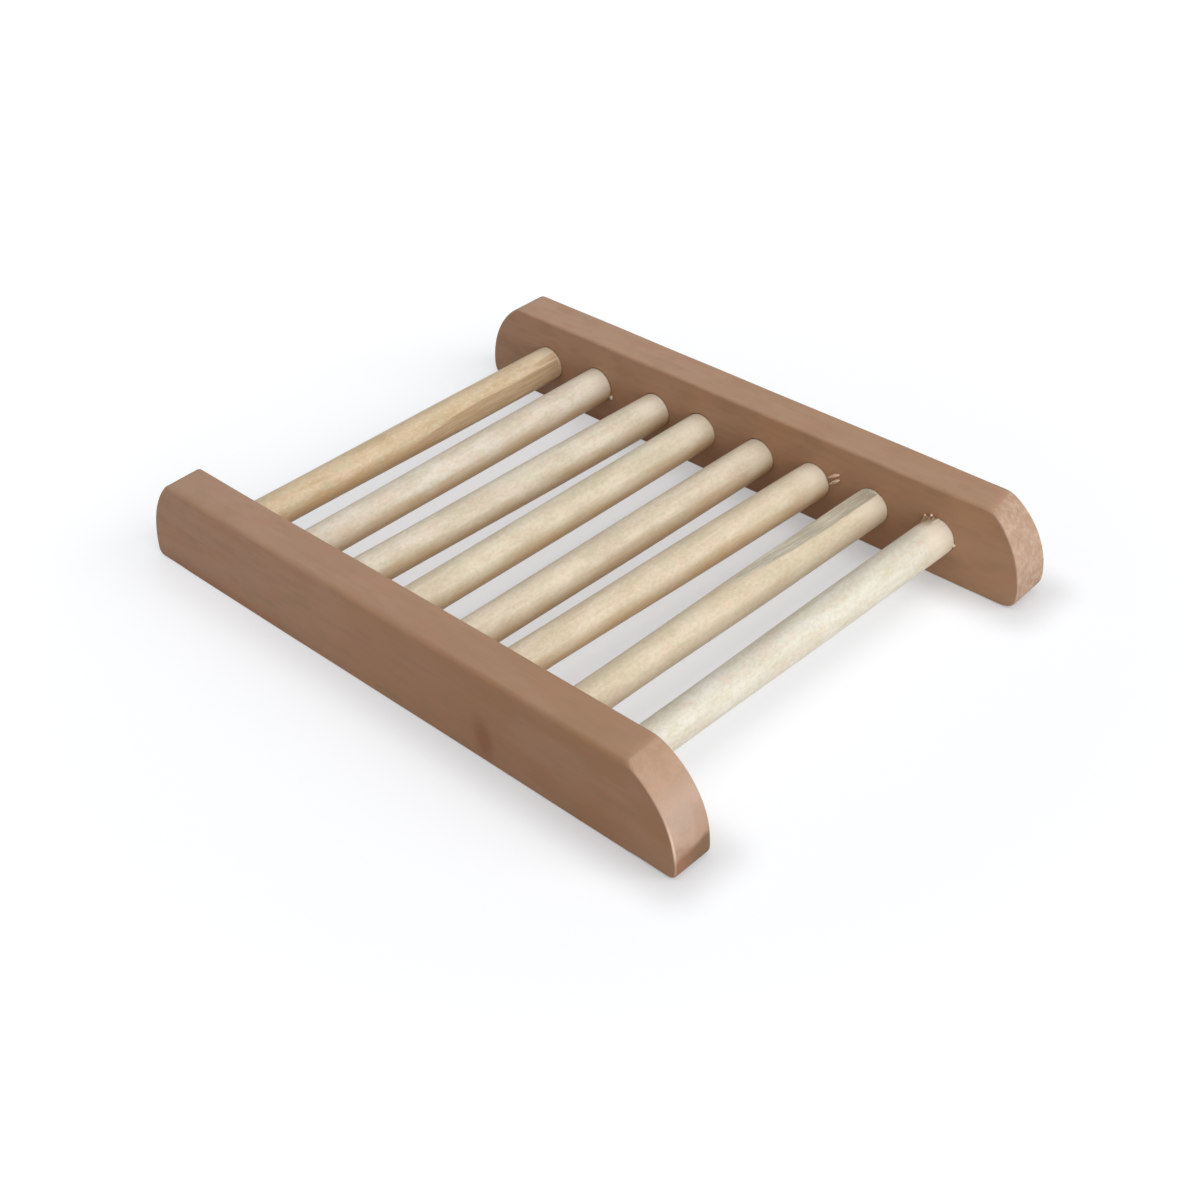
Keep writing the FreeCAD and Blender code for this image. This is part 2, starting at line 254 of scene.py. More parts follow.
def end_curve(from_x, tip_x, top, short, sweep, plumb, foot, softening):
    """The outline of a rail's right end, from the flat top round to the underside: straight
    to the sweep, an arc that comes plumb at the tip, a plumb stretch, the foot's quarter
    circle and the straight underside. It is cut into equal steps, and its corners are
    softened by averaging each point with its neighbours a few times."""
    tip_x -= short
    rise = top - plumb
    radius = (sweep**2 + rise**2) / (2 * sweep)
    turn = math.asin(rise / radius)
    path = np.concatenate(
        [
            [[from_x, top]],
            arc(tip_x - radius, plumb, radius, turn, 0, SWEEP_POINTS),
            arc(tip_x - foot, foot, foot, 0, -math.pi / 2, FOOT_POINTS),
            [[from_x, 0]],
        ]
    )
    travelled = np.concatenate([[0], np.cumsum(np.linalg.norm(np.diff(path, axis=0), axis=1))])
    steps = np.linspace(0, travelled[-1], END_POINTS + 1)
    even = np.stack([np.interp(steps, travelled, path[:, axis]) for axis in (0, 1)], -1)
    for _ in range(softening):
        even[1:-1] = (even[:-2] + 2 * even[1:-1] + even[2:]) / 4
    return even


def rail_outline(ends, edge, cell_x, size):
    """One closed outline of a rail, as x and z, seen from its side: along the top from left
    to right, round the right end, back along the underside and round the left end. edge is
    0 for the outer face's outline and 1 for the inner face's."""
    half_length, top = size
    right, left = (
        end_curve(side * x, half_length, top, *(MM * v for v in ends[way][edge]), ends[way][2])
        for way, side, x in (("right", 1, cell_x[-1]), ("left", -1, cell_x[0]))
    )
    left = left[::-1] * (-1, 1)
    along_top = np.stack([cell_x, np.full_like(cell_x, top)], -1)
    along_base = np.stack([cell_x[::-1], np.zeros_like(cell_x)], -1)
    return np.concatenate([along_top[:-1], right[:-1], along_base[:-1], left[:-1]])


def inset(outline, distance):
    """A closed outline drawn in by a distance, square to itself at each point."""
    ahead, behind = np.roll(outline, -1, axis=0), np.roll(outline, 1, axis=0)
    along = ahead - behind
    along /= np.linalg.norm(along, axis=1, keepdims=True)
    inward = np.stack([along[:, 1], -along[:, 0]], -1)
    return outline + inward * np.reshape(distance, (-1, 1))


def stand(outline, y):
    """Puts an outline of x and z on the plane, or at the depths, y."""
    return np.stack([outline[..., 0], np.broadcast_to(y, outline.shape[:-1]), outline[..., 1]], -1)


def edge_rounding(outline, top, top_edge, seed):
    """How round an edge of a rail is at each point of its outline: along the top as given,
    by a radius and how uneven it is, sharper round the ends, and uneven all the way."""
    at_end = step_up(np.abs(outline[:, 0]), *EDGE_TO_END)
    at_top = step_up(outline[:, 1] / top, *EDGE_TO_TOP_SHARES)
    low_edge = LOW_EDGE, EDGE_UNEVENNESS
    radius, unevenness = (a + (b - a) * at_top for a, b in zip(low_edge, top_edge))
    wave = waves(stand(outline, 0.0), EDGE_WAVE_LENGTH, seed)
    return (radius * (1 - at_end) + END_EDGE * at_end) * (1 + unevenness * wave)


def bored_cell(edge_loop, axis, y_face, inward, bore_radius):
    """The inner face round one bore, and the bore itself, which runs along its dowel's
    axis. edge_loop is the cell's border, a closed line of points. Rows close in from it to
    the bore's mouth, each point straight towards the bore's axis, then follow the worn
    rim, the wall and the flat floor."""
    centre, lean = axis
    x, z = centre.x + lean * (y_face - centre.y), centre.z
    angles = np.arctan2(edge_loop[:, 2] - z, edge_loop[:, 0] - x)

    def ring(radius, depth):
        across = x - inward * depth * lean + radius * np.cos(angles)
        deep = np.full_like(angles, y_face - inward * depth)
        return np.stack([across, deep, z + radius * np.sin(angles)], -1)

    mouth = bore_radius + RIM_WEAR
    face = blend(edge_loop, ring(mouth, 0), np.linspace(0, 1, CELL_ROWS))
    turns = np.linspace(0, math.pi / 2, RIM_ROWS)
    rim = [ring(mouth - RIM_WEAR * math.sin(t), RIM_WEAR * (1 - math.cos(t))) for t in turns]
    wall = [ring(bore_radius, depth) for depth in np.linspace(RIM_WEAR, BORE_DEPTH, WALL_ROWS)]
    floor = [ring(bore_radius * share, BORE_DEPTH) for share in BORE_FLOOR_SHARES]
    return np.concatenate([face, rim[1:], wall[1:], floor])


def rail_band(outer, inner, outer_round, inner_round, thick):
    """The band that follows a rail's outline, as rows of x, depth and z: the depth goes
    from the outer face, a quarter turn to the band, along it and a quarter turn to the
    inner face, while the outline passes from the outer one to the inner one in step with
    the depth and is drawn in by what the quarter turns leave."""
    turns = np.linspace(0, math.pi / 2, ROUND_STEPS + 1)
    rows = []
    for turn in turns:
        rows.append((outer_round * (1 - math.cos(turn)), outer_round * (1 - math.sin(turn))))
    between = thick - outer_round - inner_round
    for share in (1 - np.cos(np.linspace(0, math.pi, BAND_STEPS + 1)))[1:-1] / 2:
        rows.append((outer_round + between * share, 0 * outer_round))
    for turn in turns[::-1]:
        depth = thick - inner_round * (1 - math.cos(turn))
        rows.append((depth, inner_round * (1 - math.sin(turn))))
    band = []
    for depth, drawn_in in rows:
        share = (depth / thick)[:, None]
        band.append(stand(inset(outer * (1 - share) + inner * share, drawn_in), depth))
    band = np.stack(band)
    return np.concatenate([band, band[:, :1]], axis=1)


def cell_columns(y_face):
    """Where the columns of an inner face's cells stand along X, on the plane y_face. The
    cells meet half-way between the dowels."""
    axes = [dowel_axis(number) for number in range(1, DOWEL_COUNT + 1)]
    places = np.array([centre.x + lean * (y_face - centre.y) for centre, lean in axes])
    between = (places[1:] + places[:-1]) / 2
    walls = np.concatenate([[places[0] - LAST_CELL], between, [places[-1] + LAST_CELL]])
    spans = [np.linspace(a, b, CELL_COLUMNS + 1)[:-1] for a, b in zip(walls, walls[1:])]
    return np.concatenate([*spans, walls[-1:]])


def upright_line(top, base):
    """Points straight down from one point to another, as many as an end's outline has."""
    return top + (base - top) * np.linspace(0, 1, END_POINTS + 1)[:, None]


def fan_ends(face):
    """Cuts a side face's outline up. Gives its lines along the top and along the underside,
    both from left to right, and a patch for each end, which fans from the end's outline to
    the upright line where the cells stop."""
    straight, bend = DOWEL_COUNT * CELL_COLUMNS, END_POINTS
    top = face[: straight + 1]
    right = face[straight : straight + bend + 1]
    base = face[straight + bend : 2 * straight + bend + 1][::-1]
    left = face[2 * straight + bend :][::-1]
    shares = np.linspace(0, 1, END_ROWS) ** END_CROWDING
    fans = []
    for end, k in ((right, -1), (left, 0)):
        fans.append(blend(end, upright_line(top[k], base[k]), shares))
    return top, base, fans


def bored_cells(top, base, y_face, inward):
    """An inner face between its ends: one bored cell for each dowel."""
    cells = []
    for number in range(1, DOWEL_COUNT + 1):
        first, last = (number - 1) * CELL_COLUMNS, number * CELL_COLUMNS
        left, right = (upright_line(top[k], base[k]) for k in (first, last))
        border = [top[first:last], right[:-1], base[last:first:-1], left[::-1]]
        edge_loop = np.concatenate(border)
        bore_radius = BORE_RADIUS - (TAPERS[number] * MM if inward > 0 else 0)
        cells.append(bored_cell(edge_loop, dowel_axis(number), y_face, inward, bore_radius))
    return cells


def mark_rail(piece):
    """Marks how far each point of a rail is on an end, on the edge of an end, which is
    strongest where the surface looks as much along X as along Y, and on an upright side."""
    points, normals = read_points(piece)
    near_end = step_up(np.abs(points[:, 0]), *NEAR_END)
    mark(piece, "end_face", step_up(np.abs(normals[:, 0]), *END_FACING) * near_end)
    mark(piece, "edge_wear_and_highlight", 4 * normals[:, 0] ** 2 * normals[:, 1] ** 2 * near_end)
    mark(piece, "side_face", step_up(np.abs(normals[:, 1]), *SIDE_FACING))


def make_uneven(piece, low, high):
    """Moves a rail's points a little, in smooth waves, and keeps them inside its box."""
    points, _ = read_points(piece)
    shift = np.stack([waves(points, RAIL_WAVE_LENGTH, seed) for seed in (11, 12, 13)], -1)
    moved = np.clip(points + RAIL_WAVE * shift, np.array(low), np.array(high))
    piece.data.vertices.foreach_set("co", moved.astype(np.float32).ravel())
    piece.data.update()


def make_rail(name):
    """A side rail as a quilt: a band that follows its outline, rounded over into the two
    side faces, an outer face drawn straight from top to underside, an inner face made of
    bored cells, and the ends of both faces."""
    low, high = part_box(name)
    inward = INWARD[name]
    y_outer, y_inner = (low.y, high.y) if inward > 0 else (high.y, low.y)
    cell_x = cell_columns(y_inner)
    ends, size = RAIL_ENDS[name], (high.x, high.z)
    outer = rail_outline(ends, 0, cell_x, size)
    inner = rail_outline(ends, 1, cell_x, size)
    outer_round = edge_rounding(outer, high.z, HELD_EDGES[name], seed=3)
    inner_round = edge_rounding(inner, high.z, (INNER_EDGE, EDGE_UNEVENNESS), seed=4)
    band = rail_band(outer, inner, outer_round, inner_round, high.y - low.y)
    band[..., 1] = y_outer + inward * band[..., 1]

    outer_top, outer_base, outer_fans = fan_ends(band[0])
    outer_face = blend(outer_top, outer_base, np.linspace(0, 1, END_POINTS + 1))
    inner_top, inner_base, inner_fans = fan_ends(band[-1])
    cells = bored_cells(inner_top, inner_base, y_inner, inward)
    piece = quilt(name + "_wood", [band, *outer_fans, outer_face, *inner_fans, *cells])
    mark_rail(piece)
    make_uneven(piece, low, high)
    return piece


def flat_limit(flat, radius, angle, y):
    """How far a planed flat lets a dowel reach at each angle and place: the flat's distance
    from the axis over the cosine of the angle from its normal, and far out where the
    surface turns away from it. Also says where along the dowel there is a flat."""
    turn, depth, start, full = flat
    deep = depth * MM * step_up(y, start * MM, full * MM) * (1 - step_up(y, *FLATS_END))
    facing = np.cos(angle - math.radians(turn))
    limit = (radius - deep) / np.maximum(facing, FLAT_WIDEST) + (facing <= FLAT_WIDEST)
    return limit, deep > 0


def mark_dowel(piece, number, flat_share):
    """Marks how far each point of a dowel is planed, by its row and column of the grid,
    and how far it is frayed, which only the last dowel is."""
    low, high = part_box(f"dowel_{number}")
    centre, lean = dowel_axis(number)
    points, _ = read_points(piece)
    row = np.round((points[:, 1] - low.y) / (high.y - low.y) * (DOWEL_ALONG - 1)).astype(int)
    from_axis = points[:, 0] - centre.x - lean * (points[:, 1] - centre.y)
    around = np.arctan2(from_axis, points[:, 2] - centre.z) / (2 * math.pi)
    column = np.round(around % 1 * DOWEL_AROUND).astype(int)
    mark(piece, "planed", flat_share[row, column])
    (start, full), middle, fade = FRAYED
    along = step_up(points[:, 1], start * MM, full * MM)
    aside = 1 - step_up(np.abs(around * 360 - middle), *fade)
    mark(piece, "frayed", along * aside * (number == DOWEL_COUNT))


def make_dowel(number):
    """A dowel as one tube along its axis. The radius at each angle and place is the
    dowel's own, less a little low noise and a slight taper to the front, and no more than
    its planed flats allow. Its ends are closed by rows that shrink to the axis."""
    name = f"dowel_{number}"
    low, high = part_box(name)
    centre, lean = dowel_axis(number)
    radius = (high.z - low.z) / 2
    angle = np.linspace(0, 2 * math.pi, DOWEL_AROUND + 1)[None, :]
    y = np.linspace(low.y, high.y, DOWEL_ALONG)[:, None]
    everywhere = 0 * (angle + y)
    along = (y - centre.y) / (radius * WEAR_STRETCH)
    round_place = np.stack(
        [np.sin(angle) + everywhere, along + everywhere, np.cos(angle) + everywhere], -1
    )
    worn = DOWEL_WEAR * (waves(round_place, WEAR_LENGTH, seed=number) - 1)
    worn -= TAPERS[number] * MM * step_up(-y, *TAPER_SPAN)
    reach = radius + worn
    flat_share = np.zeros_like(reach)
    for flat in FLATS.get(name, ()):
        limit, planed = flat_limit(flat, radius, angle, y)
        fine_place = round_place * (FLAT_FINENESS, 1, FLAT_FINENESS)
        limit = limit + FLAT_ROUGHNESS * waves(fine_place, 1.0, seed=number + 50) * planed
        flat_share = np.maximum(flat_share, step_up(reach - limit, 0, FLAT_SHOWN))
        reach = np.minimum(reach, limit)
    caps = np.array(CAP_SHARES)[:, None]
    reach = np.concatenate([caps[::-1] * reach[:1], reach, caps * reach[-1:]])
    y = np.concatenate([y[:1] + 0 * caps, y, y[-1:] + 0 * caps])
    bow = DOWEL_BOW * np.sin(np.pi * (y - low.y) / (high.y - low.y))
    bow_way = BOW_TURN * number
    x = centre.x + lean * (y - centre.y) + reach * np.sin(angle) + bow * math.sin(bow_way)
    z = centre.z + reach * np.cos(angle) + bow * math.cos(bow_way)
    piece = quilt(name + "_wood", [np.stack([x, y + 0 * angle, z], -1)])
    mark_dowel(piece, number, flat_share)
    return piece


def make_slivers(name, lines):
    """Torn fibres as one piece. Each line is a start, an end, a thickness and a lift in
    millimetres: a tube along a line that bows up by the lift. Its radius is half the
    thickness times the square root of a half sine wave, which peaks past the middle."""
    along = np.linspace(0, 1, SLIVER_ALONG)
    around = np.linspace(0, 2 * math.pi, SLIVER_AROUND)
    swell = np.sqrt(np.clip(np.sin(math.pi * along**SLIVER_LEAN), 0, 1))
    patches = []
    for start, end, thickness, lift in lines:
        start, end = np.array(start) * MM, np.array(end) * MM
        forward = (end - start) / np.linalg.norm(end - start)
        side = np.cross(forward, (0, 0, 1))
        side /= np.linalg.norm(side)
        up = np.cross(side, forward)
        bow = up * (lift * MM * np.sin(math.pi * along))[:, None]
        line = start + (end - start) * along[:, None] + bow
        ring = side * np.cos(around)[:, None] + up * np.sin(around)[:, None]
        patches.append(line[:, None] + ring * (thickness * MM / 2 * swell)[:, None, None])
    return quilt(name, patches)


def make_beads(name, beads):
    """Beads of dried glue, or the knobbly ends of fibres, as one piece: each a small ball,
    wavy all over, half sunk in what it sits on. Each is a place and a radius in
    millimetres."""
    down = np.linspace(0, math.pi, BEAD_DOWN)[:, None]
    around = np.linspace(0, 2 * math.pi, BEAD_AROUND)[None, :]
    ball = np.stack(
        [np.sin(down) * np.cos(around), np.sin(down) * np.sin(around), np.cos(down) + 0 * around], -1
    )
    patches = []
    for count, (place, radius) in enumerate(beads):
        uneven = 1 + BEAD_WAVE * waves(ball, BEAD_WAVE_LENGTH, seed=70 + count)
        size = (radius, radius * BEAD_DEPTH_SHARE, radius)
        patches.append((np.array(place) + ball * uneven[..., None] * size) * MM)
    return quilt(name, patches)


# Materials


class Wire:
    """One output of a shader node. Sums, differences and products of wires and plain
    numbers add the Math nodes that work them out."""

    def __init__(self, finish, socket):
        self.finish = finish
        self.socket = socket

    def maths(self, operation, *values):
        """Adds a Math node for an operation on wires and numbers."""
        return self.finish.node("Math", {"operation": operation}, dict(enumerate(values)))

    def __add__(self, other):
        return self.maths("ADD", self, other)

    def __radd__(self, other):
        return self.maths("ADD", other, self)

    def __sub__(self, other):
        return self.maths("SUBTRACT", self, other)

    def __rsub__(self, other):
        return self.maths("SUBTRACT", other, self)

    def __mul__(self, other):
        return self.maths("MULTIPLY", self, other)

    def __rmul__(self, other):
        return self.maths("MULTIPLY", other, self)


class Finish:
    """A new material, or a new world, while its nodes are laid."""

    def __init__(self, name, world=False):
        self.material = (bpy.data.worlds if world else bpy.data.materials).new(name)
        self.material.use_nodes = True
        self.nodes = self.material.node_tree.nodes
        self.links = self.material.node_tree.links
        self.shader = self.nodes["Background" if world else "Principled BSDF"]
        self.place = self.node("TexCoord", output="Object")

    def node(self, kind, settings=None, inputs=None, output=0):
        """Adds a node of a kind: first its settings, then a value or a wire for each
        input. Returns the wire of one output."""
        node = self.nodes.new("ShaderNode" + kind)
        for key, value in (settings or {}).items():
            setattr(node, key, value)
        self.feed(node, inputs or {})
        return Wire(self, node.outputs[output])

    def feed(self, node, inputs):
        """Links wires to a node's inputs, and sets plain values on them."""
        for key, value in inputs.items():
            if isinstance(value, Wire):
                self.links.new(value.socket, node.inputs[key])
            elif hasattr(value, "__len__") and len(node.inputs[key].default_value) > len(value):
                node.inputs[key].default_value = (*value, 1)
            else:
                node.inputs[key].default_value = value

    def stretched(self, scale, shift=(0, 0, 0)):
        """The place on the piece in millimetres, each axis drawn out by its own scale."""
        inputs = {0: self.place, "Scale": [v / MM for v in scale], "Location": shift}
        return self.node("Mapping", None, inputs)

    def axes(self):
        """The place on the piece in millimetres along X, Y and Z, one wire for each."""
        split = self.nodes.new("ShaderNodeSeparateXYZ")
        self.links.new(self.stretched((1, 1, 1)).socket, split.inputs[0])
        return [Wire(self, socket) for socket in split.outputs]

    def noise(self, place, detail=3, roughness=0.55, distortion=0):
        """Noise about one unit across, from 0 to 1."""
        inputs = {"Vector": place, "Scale": 1, "Detail": detail, "Roughness": roughness,
                  "Distortion": distortion}
        return self.node("TexNoise", None, inputs)

    def between(self, value, low, high):
        """0 where a value is below low, 1 above high, and a smooth rise between."""
        inputs = {0: value, 1: low, 2: high}
        return self.node("MapRange", {"interpolation_type": "SMOOTHSTEP"}, inputs)

    def mix(self, share, one, other, how="MIX"):
        """A colour between two others."""
        settings = {"data_type": "RGBA", "blend_type": how}
        return self.node("Mix", settings, {0: share, 6: one, 7: other}, output=2)

    def tint(self, colour, pattern, span, strength, tone):
        """A colour that goes over to a tone, given by its screen values, as a pattern
        passes through a span. The strength says how much of the tone it takes at most."""
        return self.mix(self.between(pattern, *span) * strength, colour, linear(*tone))

    def mark(self, name):
        """What a piece's points were marked with under a name."""
        return self.node("Attribute", {"attribute_name": name}, output="Fac")

    def seen(self):
        """1 for what the camera and the reflections see, 0 for what lights other things."""
        rays = self.nodes.new("ShaderNodeLightPath").outputs
        names = ("Is Camera Ray", "Is Glossy Ray", "Is Transmission Ray")
        camera, glossy, through = (Wire(self, rays[name]) for name in names)
        return camera + glossy + through

    def bump(self, height, depth):
        """A bump as deep as given, in metres."""
        return self.node("Bump", None, {"Height": height, "Distance": depth, "Strength": 1})

    def cover(self, piece):
        """Gives a piece this material alone."""
        piece.data.materials.clear()
        piece.data.materials.append(self.material)


def linear(red, green, blue):
    """A colour from its screen values, 0 to 255, in the shader's own scale."""
    values = [v / 255 for v in (red, green, blue)]
    return tuple(v / 12.92 if v < 0.04045 else ((v + 0.055) / 1.055) ** 2.4 for v in values)


# The stain on the front rail's outer face, a soft upright oval: where its middle is, how far
# it keeps its depth and where it ends, in millimetres along X, by how much its height is
# shrunk to make the oval a circle, and how much darker it is by red, green and blue.
STAIN_PLACE = (22.5, -43.4, 4.4)
STAIN_REACH, STAIN_SHRINK = (0.6, 3.0), 0.55
STAIN_TINT = (0.82, 0.68, 0.66)
# Below this line the front rail's right end is darker: its height in millimetres
# where the plane y = 0 would cut it, how much it rises for each millimetre along Y, and how
# far above and below it the two finishes mingle.
FOOT_LINE, FOOT_SLANT, FOOT_BLUR = 11.9, 0.2, 0.7
# How much warmer the side faces are than the tops, by red, green and blue: painted light
# that stands in for warm light bounced onto them and for the paler sheen on the tops.
PAINTED_SIDE_WARMTH = (1.14, 1.02, 0.91)
# How much the stained rails and the bare dowels reflect, and how deep their grain is.
RAIL_GLOSS, RAIL_GRAIN = 0.18, 0.015 * MM
DOWEL_GLOSS, DOWEL_GRAIN = 0.3, 0.025 * MM


def rail_side_colour(finish, streaks, fibres):
    """The rails' long faces: stained wood, greyer to the left and browner to the right,
    with clouds, olive and reddish mottles, faint streaks and fine pores, and redder along
    the underside at the left. The front rail's outer face has painted shade that darkens
    it to the right, and one stain."""
    x, y, z = finish.axes()
    clouds = finish.noise(finish.stretched((0.06, 0.2, 0.2)), detail=2)
    olive = finish.noise(finish.stretched((0.14, 0.3, 0.3), (7, 3, 1)), detail=2)
    red = finish.noise(finish.stretched((0.14, 0.3, 0.3), (3, 8, 5)), detail=2)
    to_right = finish.between(x, -55, 40)
    front = finish.mix(to_right, linear(164, 133, 112), linear(158, 124, 98))
    back = finish.mix(to_right, linear(170, 139, 117), linear(165, 132, 106))
    colour = finish.mix(finish.between(y, -10, 10), front, back)
    # Painted shade: the front rail's outer face darker to the right.
    outer_right_shade = finish.between(0 - y, 42.6, 43.2) * finish.between(x + clouds * 20, -5, 45)
    colour = finish.mix(outer_right_shade * 0.22, colour, linear(122, 90, 66))
    # Painted light: the upright faces warmed as by bounced light.
    colour = finish.mix(finish.mark("side_face"), colour, PAINTED_SIDE_WARMTH, "MULTIPLY")
    colour = finish.tint(colour, clouds, (0.38, 0.62), 0.3, (174, 142, 119))
    colour = finish.tint(colour, olive, (0.5, 0.68), 0.32, (150, 124, 94))
    colour = finish.tint(colour, red, (0.5, 0.68), 0.36, (168, 124, 102))
    colour = finish.tint(colour, streaks, (0.45, 0.7), 0.1, (138, 106, 82))
    colour = finish.tint(colour, fibres, (0.6, 0.75), 0.06, (122, 92, 72))
    low_left = (1 - finish.between(z + clouds * 2, 1.6, 3.2)) * (1 - finish.between(x, -40, -10))
    colour = finish.mix(low_left * 0.35, colour, linear(158, 98, 78))

    stain_x, stain_y, stain_z = STAIN_PLACE
    here = finish.stretched((1, 1, STAIN_SHRINK))
    there = (stain_x, stain_y, stain_z * STAIN_SHRINK)
    apart = finish.node("VectorMath", {"operation": "DISTANCE"}, {0: here, 1: there}, output=1)
    stained = 1 - finish.between(apart + olive * 2 - 1, *STAIN_REACH)
    return finish.mix(stained, colour, STAIN_TINT, "MULTIPLY")


def rail_end_colour(finish, flecks):
    """The rails' ends: sanded through to a paler, pinker wood with soft blotches and
    flecks, browner low down. The front rail's are palest half-way up and brownest low
    down by the inner edge, and the foot of its right end is darker, below a wandering
    line. The back rail's have finer light and dark mottles."""
    x, y, z = finish.axes()
    blotches = finish.noise(finish.stretched((0.4, 0.3, 0.3)), detail=3)
    mottles = finish.noise(finish.stretched((1.1, 1.1, 0.8), (2, 5, 1)), detail=4, roughness=0.75)
    height = z + blotches * 4
    behind = finish.between(y, -1, 0)
    in_front = 1 - behind

    middle = finish.between(height, 5.5, 8.5) * (1 - finish.between(height, 12.5, 16))
    middle = middle * (1 - finish.between(y, -5, 5) * 0.8)
    colour = finish.mix(middle, linear(163, 133, 110), linear(170, 146, 130))
    colour = finish.mix((1 - finish.between(height, 4, 11)) * 0.8, colour, linear(148, 118, 97))
    colour = finish.tint(colour, blotches, (0.42, 0.6), 0.3, (184, 152, 130))
    colour = finish.tint(colour, flecks, (0.55, 0.7), 0.25, (188, 162, 142))
    colour = finish.tint(colour, mottles, (0.44, 0.66), behind * 0.5, (186, 168, 150))
    dark_mottles = (1 - finish.between(mottles, 0.34, 0.52)) * behind
    colour = finish.mix(dark_mottles * 0.35, colour, linear(154, 124, 104))

    by_inner_edge = finish.between(y + blotches * 2, -38.6, -37)
    by_inner_edge = by_inner_edge * (1 - finish.between(z + blotches * 3, 9, 13))
    colour = finish.mix(by_inner_edge * in_front * 0.5, colour, linear(158, 126, 104))
    wander = finish.noise(finish.stretched((0, 0.3, 0), (0, 2, 0)), detail=1) * 2.4
    wander = wander + flecks * 0.3 - 1.35
    # Darker below a wandering line at the foot of the front rail's right end.
    foot = finish.between(y * FOOT_SLANT + FOOT_LINE - z + wander, -FOOT_BLUR, FOOT_BLUR)
    foot = foot * finish.between(x, 0, 1) * in_front
    dark_foot = finish.mix(finish.between(y, -42.5, -38.5), linear(132, 93, 73), linear(110, 84, 62))
    return finish.mix(foot * 0.92, colour, dark_foot)


def rail_finish():
    """Brown stained wood with its grain along X, and paler ends. The edges between the
    ends and the long faces are paler, partly from wear and partly a painted highlight,
    brightest half-way up the front rail's outer corners."""
    finish = Finish("stained rail wood")
    _, y, z = finish.axes()
    streaks = finish.noise(finish.stretched((0.07, 1.1, 1.1)), detail=4, distortion=0.3)
    fibres = finish.noise(finish.stretched((0.22, 5, 5)), detail=2)
    flecks = finish.noise(finish.stretched((2.6, 2.6, 1.6)), detail=2, roughness=0.7)
    sides, ends = rail_side_colour(finish, streaks, fibres), rail_end_colour(finish, flecks)
    on_end = finish.between(finish.mark("end_face") + flecks * 0.4 - 0.2, 0.3, 0.7)
    colour = finish.mix(on_end, sides, ends)
    # Paler edges round the ends: partly wear, partly a painted highlight.
    edge_wear_and_highlight = finish.mark("edge_wear_and_highlight")
    colour = finish.mix(edge_wear_and_highlight * 0.5, colour, linear(196, 168, 148))
    # Painted highlight, brightest half-way up the front rail's outer corners.
    palest = finish.between(0 - y, 42, 42.6) * finish.between(z, 2.5, 5.5)
    palest = palest * (1 - finish.between(z + flecks * 4, 9, 13))
    colour = finish.mix(edge_wear_and_highlight * palest * 0.85, colour, linear(232, 200, 176))
    finish.feed(finish.shader, {
        "Base Color": colour,
        "Roughness": finish.between(streaks, 0, 1) * 0.12 + 0.58,
        "Specular IOR Level": RAIL_GLOSS,
        "Normal": finish.bump(streaks * 0.5 + fibres * 0.5, RAIL_GRAIN),
    })
    return finish


# Each dowel was cut from its own stick: its lighter and its darker tone, then those of its
# planed flat.
FRESH_PLANED, GREY_PLANED = ((200, 174, 140), (182, 154, 120)), ((212, 203, 182), (176, 167, 146))
DOWEL_TONES = {
    1: ((203, 181, 150), (188, 163, 128), *FRESH_PLANED),
    2: ((211, 202, 187), (198, 185, 166), *FRESH_PLANED),
    3: ((211, 201, 183), (197, 184, 163), *FRESH_PLANED),
    4: ((210, 200, 178), (197, 184, 160), *FRESH_PLANED),
    5: ((210, 197, 175), (196, 181, 160), *FRESH_PLANED),
    6: ((210, 195, 172), (197, 181, 155), *FRESH_PLANED),
    7: ((208, 195, 172), (198, 183, 156), *GREY_PLANED),
    8: ((208, 204, 192), (198, 191, 174), *FRESH_PLANED),
}
# How much painted shade, darker and browner, each one's underside takes, and how much
# paler it is by the back rail, partly its own paler ends and partly painted light against
# the back rail's shade. The last ones, at the dish's open end, get less painted shade and
# are paler by the back rail, as more light reaches them there.
UNDERSIDE_SHADE = dict.fromkeys(DOWEL_TONES, 0.85) | {7: 0.25, 8: 0.05}
BACK_END_PALE_AND_LIT = dict.fromkeys(DOWEL_TONES, 0.35) | {6: 0.65, 7: 0.65, 8: 0.65}


